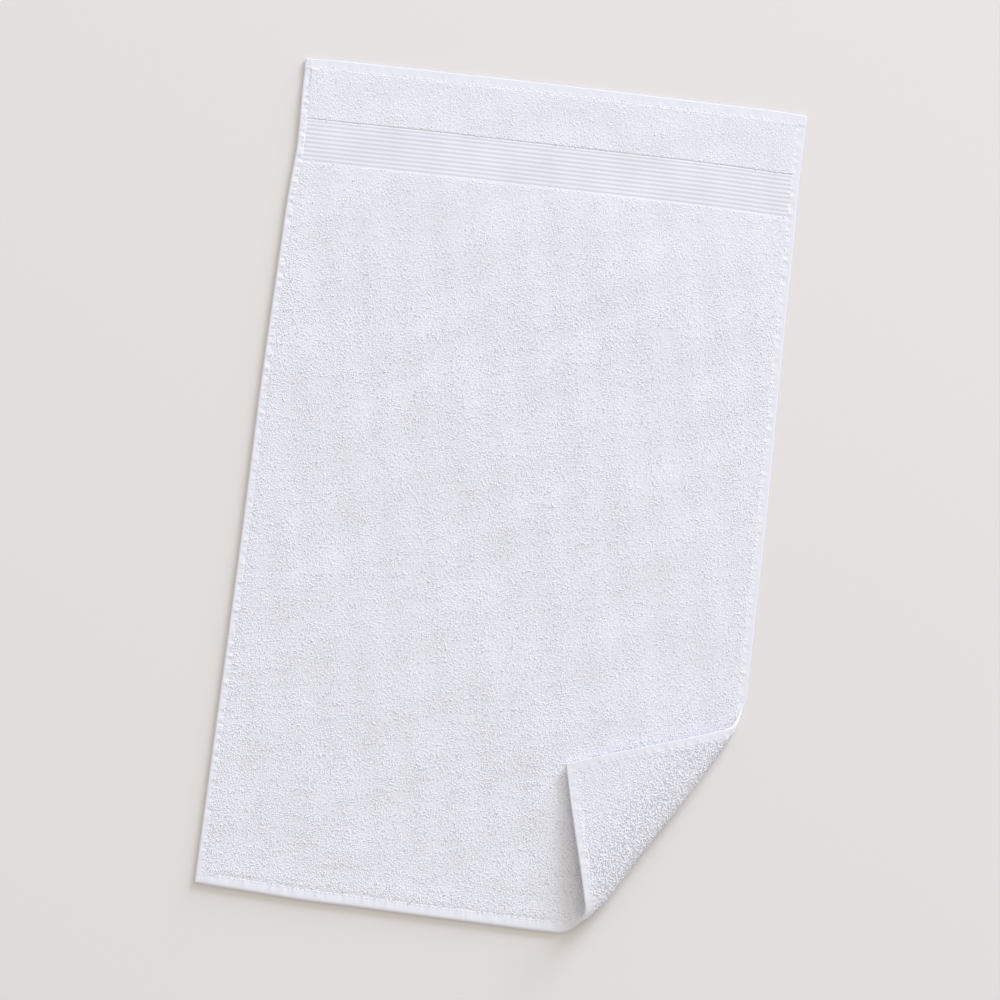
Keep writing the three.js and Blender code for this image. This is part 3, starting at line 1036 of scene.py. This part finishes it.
def seam_on_edge(number, edge):
    """Feet, normals and headings of the stitches along one edge of the flat part."""
    places = np.arange(SEAM_END, edge.length - SEAM_END, STITCH_PITCH)
    points = edge.at(places) + edge.inward * HEMS["width"][0][number] * SEAM_SHARE
    depths = np.maximum(depth_on_floor(points), 0)
    feet = raised(points, face_height(points, depths, np.zeros(len(points))))
    return feet, *[np.broadcast_to(way, feet.shape) for way in (UP, raised(edge.direction))]


def seam_on_fold(number, hem_at, side):
    """The same on the reverse, at even steps of cloth along a hem that crosses the fold."""
    turns = np.linspace(*FOLD_SEAM, 400)
    steps = np.diff(fold_point(hem_at(turns), turns), axis=0)
    run = np.concatenate([[0], np.cumsum(np.linalg.norm(steps, axis=1))])
    turns = np.interp(np.arange(0, run[-1], STITCH_PITCH), run, turns)
    inwards = hem("width", turns)[number] * SEAM_SHARE
    along = hem_at(turns) + side * inwards * np.sqrt(1 + hem_slope(hem_at, turns) ** 2)
    points, normal = fold_point(along, turns), fold_normal(along, turns)
    inset = reverse_height(np.maximum(depth_on_fold(along, turns), 0), turns)
    return points + normal * inset[:, None], -normal, np.gradient(points, axis=0)


seams = [seam_on_edge(number, edge) for number, edge in enumerate([left, right, top, bottom])]
seams += [seam_on_fold(1, side_hem_at, 1), seam_on_fold(3, end_hem_at, -1)]
stand = [np.concatenate(part) for part in zip(*seams)]
count = len(stand[0])
stitches = make_pile(
    "hem_stitches", stand, loop_shapes(count, STITCH, 0.06), loop_template(3, 4),
    random.random(count),
)

# %% [markdown]
# ## Materials
#
# The whole towel is bleached cotton: matte, faintly blue from the brightener in the wash, and soft
# at grazing angles, where fine fibres catch the light, which is the shader's sheen. Loops, flat
# weave and thread each have their own finish of it. One helper adds any node, with its settings
# and links. A noise of scale 900 has about 900 grains to the metre, so each is 1.1 mm wide.


# %% Colour and node helpers
def linear(hex_colour):
    """An sRGB hex colour as linear red, green, blue and alpha."""
    value = np.array([int(hex_colour[i:i + 2], 16) for i in (1, 3, 5)]) / 255
    low, high = value / 12.92, ((value + 0.055) / 1.055) ** 2.4
    return (*np.where(value <= 0.04045, low, high), 1.0)


def join(output, node, socket):
    """A link from an output of one node to an input of another."""
    node.id_data.links.new(output, node.inputs[socket])


def add_node(material, kind, settings=None, links=None):
    """One node, with its sockets or properties set and its inputs joined to other outputs."""
    node = material.node_tree.nodes.new("ShaderNode" + kind)
    for name, value in (settings or {}).items():
        if isinstance(name, int) or name in node.inputs:
            node.inputs[name].default_value = value
        else:
            setattr(node, name, value)
    for name, output in (links or {}).items():
        join(output, node, name)
    return node


def new_material(name, settings):
    """A material with its own Principled shader, whose constants are set on its sockets."""
    material = bpy.data.materials.new(name)
    material.use_nodes = True
    shader = material.node_tree.nodes["Principled BSDF"]
    for socket, value in settings.items():
        shader.inputs[socket].default_value = value
    return material, shader


# %% [markdown]
# ### Terry loops
#
# Two-ply cotton yarn, slack twisted: no gloss, a little sheen, and fibres that break up each
# loop's edge. The twist is under half a millimetre, too fine to show, so the bump is about 1 mm
# wide. Each loop's own shade lies between two near whites.

# %% The material of the loops
COTTON = {
    "Roughness": 0.95, "Specular IOR Level": 0.2, "Sheen Weight": 0.25, "Sheen Roughness": 0.6,
}

loops_cotton, shader = new_material("cotton_terry_loops", COTTON)
own_shade = add_node(loops_cotton, "Attribute", {"attribute_name": "shade"})
tints = add_node(loops_cotton, "ValToRGB", links={"Fac": own_shade.outputs["Fac"]})
stops = tints.color_ramp.elements
stops[0].color, stops[1].color = linear("#E9E9F0"), linear("#F9F9FE")
join(tints.outputs["Color"], shader, "Base Color")

where = add_node(loops_cotton, "TexCoord").outputs["Object"]
fibres = add_node(loops_cotton, "TexNoise", {"Scale": 900.0, "Detail": 2.0}, {"Vector": where})
tilt = {"Strength": 0.35, "Distance": 0.0004}
bump = add_node(loops_cotton, "Bump", tilt, {"Height": fibres.outputs["Fac"]})
join(bump.outputs["Normal"], shader, "Normal")
print(f"{loops_cotton.name}: {len(loops_cotton.node_tree.nodes)} nodes")

# %% [markdown]
# ### Ground cloth and flat weave
#
# Between the loops the ground cloth shows as a dull net. A grain about 3 mm wide stands there for
# the loops that are too fine to be drawn. On the hems and the border the yarns are woven tight
# and flat. The number "woven_flat" says which of the two a point is, so that one material covers
# the whole cloth with no seam. A hem puckers a little where it was sewn: waves along it, about
# 1 cm apart, which "near_seam" makes strongest beside the stitches.

# %% The material of the sheet
sheet_cotton, shader = new_material("cotton_flat_weave", COTTON | {"Sheen Weight": 0.08})
flatness, along_hems, beside_seams = [
    add_node(sheet_cotton, "Attribute", {"attribute_name": name}).outputs["Fac"]
    for name in ("woven_flat", "along_hem", "near_seam")
]
colours = add_node(sheet_cotton, "ValToRGB", links={"Fac": flatness})
stops = colours.color_ramp.elements
stops[0].color, stops[1].color = linear("#EEEEF6"), linear("#EDEDF5")
stops.new(0.5).color = linear("#E9E9F1")
join(colours.outputs["Color"], shader, "Base Color")

# %% The sheet's grain, and its puckers on top
# Each is noise less its mean of 0.5, times a share, so that no step shows where it fades out.
where = add_node(sheet_cotton, "TexCoord").outputs["Object"]
fall = {"From Max": 0.5, "To Min": 1.0, "To Max": 0.2}
roughness = add_node(sheet_cotton, "MapRange", fall, {"Value": flatness}).outputs["Result"]
grain = {"Scale": 360.0, "Detail": 1.0}
puckers = {"noise_dimensions": "1D", "Scale": 95.0, "Detail": 1.0}
RELIEFS = [
    # the noise, what it reads, its share, and how it tilts the surface
    (grain, {"Vector": where}, roughness, {"Strength": 0.42, "Distance": 0.0012}),
    (puckers, {"W": along_hems}, beside_seams, {"Strength": 0.8, "Distance": 0.0025}),
]

below = {}
for noise, reads, share, tilt in RELIEFS:
    uneven = add_node(sheet_cotton, "TexNoise", noise, reads).outputs["Fac"]
    less_mean = {"operation": "SUBTRACT", 1: 0.5}
    level = add_node(sheet_cotton, "Math", less_mean, {0: uneven}).outputs["Value"]
    parts = {0: level, 1: share}
    height = add_node(sheet_cotton, "Math", {"operation": "MULTIPLY"}, parts).outputs["Value"]
    bump = add_node(sheet_cotton, "Bump", tilt, {"Height": height} | below)
    below = {"Normal": bump.outputs["Normal"]}
join(below["Normal"], shader, "Normal")
print(f"{sheet_cotton.name}: {len(sheet_cotton.node_tree.nodes)} nodes")

# %% [markdown]
# ### Sewing thread
#
# Three-ply thread, twisted hard: as white as the cloth and a little smoother, so that each stitch
# reads as a small bright dash. Its plies are about 0.2 mm wide, too fine to show, so the noise
# that stands for them is drawn about 0.7 mm wide.

# %% The material of the thread
white = {"Base Color": linear("#F2F2F8"), "Roughness": 0.7}
thread, shader = new_material("sewing_thread", COTTON | white)
where = add_node(thread, "TexCoord").outputs["Object"]
plies = add_node(thread, "TexNoise", {"Scale": 1500.0, "Detail": 1.0}, {"Vector": where})
tilt = {"Strength": 0.3, "Distance": 0.0002}
bump = add_node(thread, "Bump", tilt, {"Height": plies.outputs["Fac"]})
join(bump.outputs["Normal"], shader, "Normal")
print(f"{thread.name}: {len(thread.node_tree.nodes)} nodes")

# %% Each piece gets its material
cloth.data.materials.append(sheet_cotton)
for piece in pile:
    piece.data.materials.append(loops_cotton)
stitches.data.materials.append(thread)

# %% [markdown]
# ## Floor, light and camera
#
# The floor is a plain warm white. Two soft lamps stand off to the upper right. The low one skims
# the cloth like light from a window: it models every loop, and makes the hems on the far side
# and the fold cast their shadows. The high one is larger and softens them. The rest of the light
# comes evenly from all round and is a little warmer, so that shadows are warm and the lit cloth
# is cool. The camera looks straight down from ten metres with a long lens. It is turned seven
# degrees, as the towel lies at that angle in the frame.

# %% The floor
FLOOR_SIZE = 60.0
half = FLOOR_SIZE / 2
corners = [(-half, -half, 0), (half, -half, 0), (half, half, 0), (-half, half, 0)]
floor_mesh = bpy.data.meshes.new("floor")
floor_mesh.from_pydata(corners, [], [(0, 1, 2, 3)])
floor = bpy.data.objects.new("floor", floor_mesh)
bpy.context.collection.objects.link(floor)
paint = {"Base Color": linear("#EBE7E5"), "Roughness": 0.9, "Specular IOR Level": 0.2}
floor_mesh.materials.append(new_material("matte_floor_paint", paint)[0])
print("floor, m:", FLOOR_SIZE)

# %% The light
from mathutils import Vector

# A lamp of power P lights a floor at distance d by P sin(elevation) / (pi d^2), and a white floor
# shows as white when that is pi. Each lamp gives the floor its share of that.
LAMP_AZIMUTH = np.radians(62)
LAMP_DISTANCE = 18.0
LAMPS = [
    # name, degrees over the floor, size, share and colour
    ("low_window", 13, 7.0, 0.27, (0.88, 0.97, 1.15)),
    ("soft_box", 38, 16.0, 0.14, (0.98, 1.0, 1.02)),
]

for name, degrees, size, share, colour in LAMPS:
    elevation = np.radians(degrees)
    plan = np.array([np.cos(LAMP_AZIMUTH), np.sin(LAMP_AZIMUTH)])
    toward = raised(plan * np.cos(elevation), np.sin(elevation))
    data = bpy.data.lights.new(name, "AREA")
    data.shape = "SQUARE"
    data.size = size
    data.energy = share * np.pi**2 * LAMP_DISTANCE**2 / np.sin(elevation)
    data.color = colour
    lamp = bpy.data.objects.new(name, data)
    lamp.location = toward * LAMP_DISTANCE
    lamp.rotation_euler = Vector(toward).to_track_quat("Z", "Y").to_euler()
    bpy.context.collection.objects.link(lamp)
    print(f"{name}: {data.energy:.0f} W")

world = bpy.data.worlds.new("studio")
world.use_nodes = True
surround = world.node_tree.nodes["Background"]
surround.inputs["Color"].default_value = (1.055, 1.01, 0.935, 1.0)
surround.inputs["Strength"].default_value = 0.56
bpy.context.scene.world = world
bpy.context.scene.view_settings.view_transform = "Standard"

# %% The camera
CAMERA_HEIGHT = 10.0
FRAME_WIDTH = 1.394
CAMERA_TURN = np.radians(7.0)
CAMERA_PLACE = (np.array([-9.1, 1.2]) + SHIFT[:2]) * MM

camera_data = bpy.data.cameras.new("overhead")
camera_data.sensor_width = 36
camera_data.lens = camera_data.sensor_width * CAMERA_HEIGHT / FRAME_WIDTH
camera_data.clip_end = 100
camera = bpy.data.objects.new("overhead", camera_data)
camera.location = (*CAMERA_PLACE, CAMERA_HEIGHT)
camera.rotation_euler = (0, 0, CAMERA_TURN)
bpy.context.collection.objects.link(camera)
bpy.context.scene.camera = camera
print("lens, mm:", round(camera_data.lens))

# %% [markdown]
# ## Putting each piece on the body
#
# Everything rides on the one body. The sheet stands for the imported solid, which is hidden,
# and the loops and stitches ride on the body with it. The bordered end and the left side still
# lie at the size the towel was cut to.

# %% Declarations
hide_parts("towel")
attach(cloth, "root")
for piece in pile:
    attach(piece, "root")
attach(stitches, "root")
print("pieces:", [piece.name for piece in (cloth, *pile, stitches)])
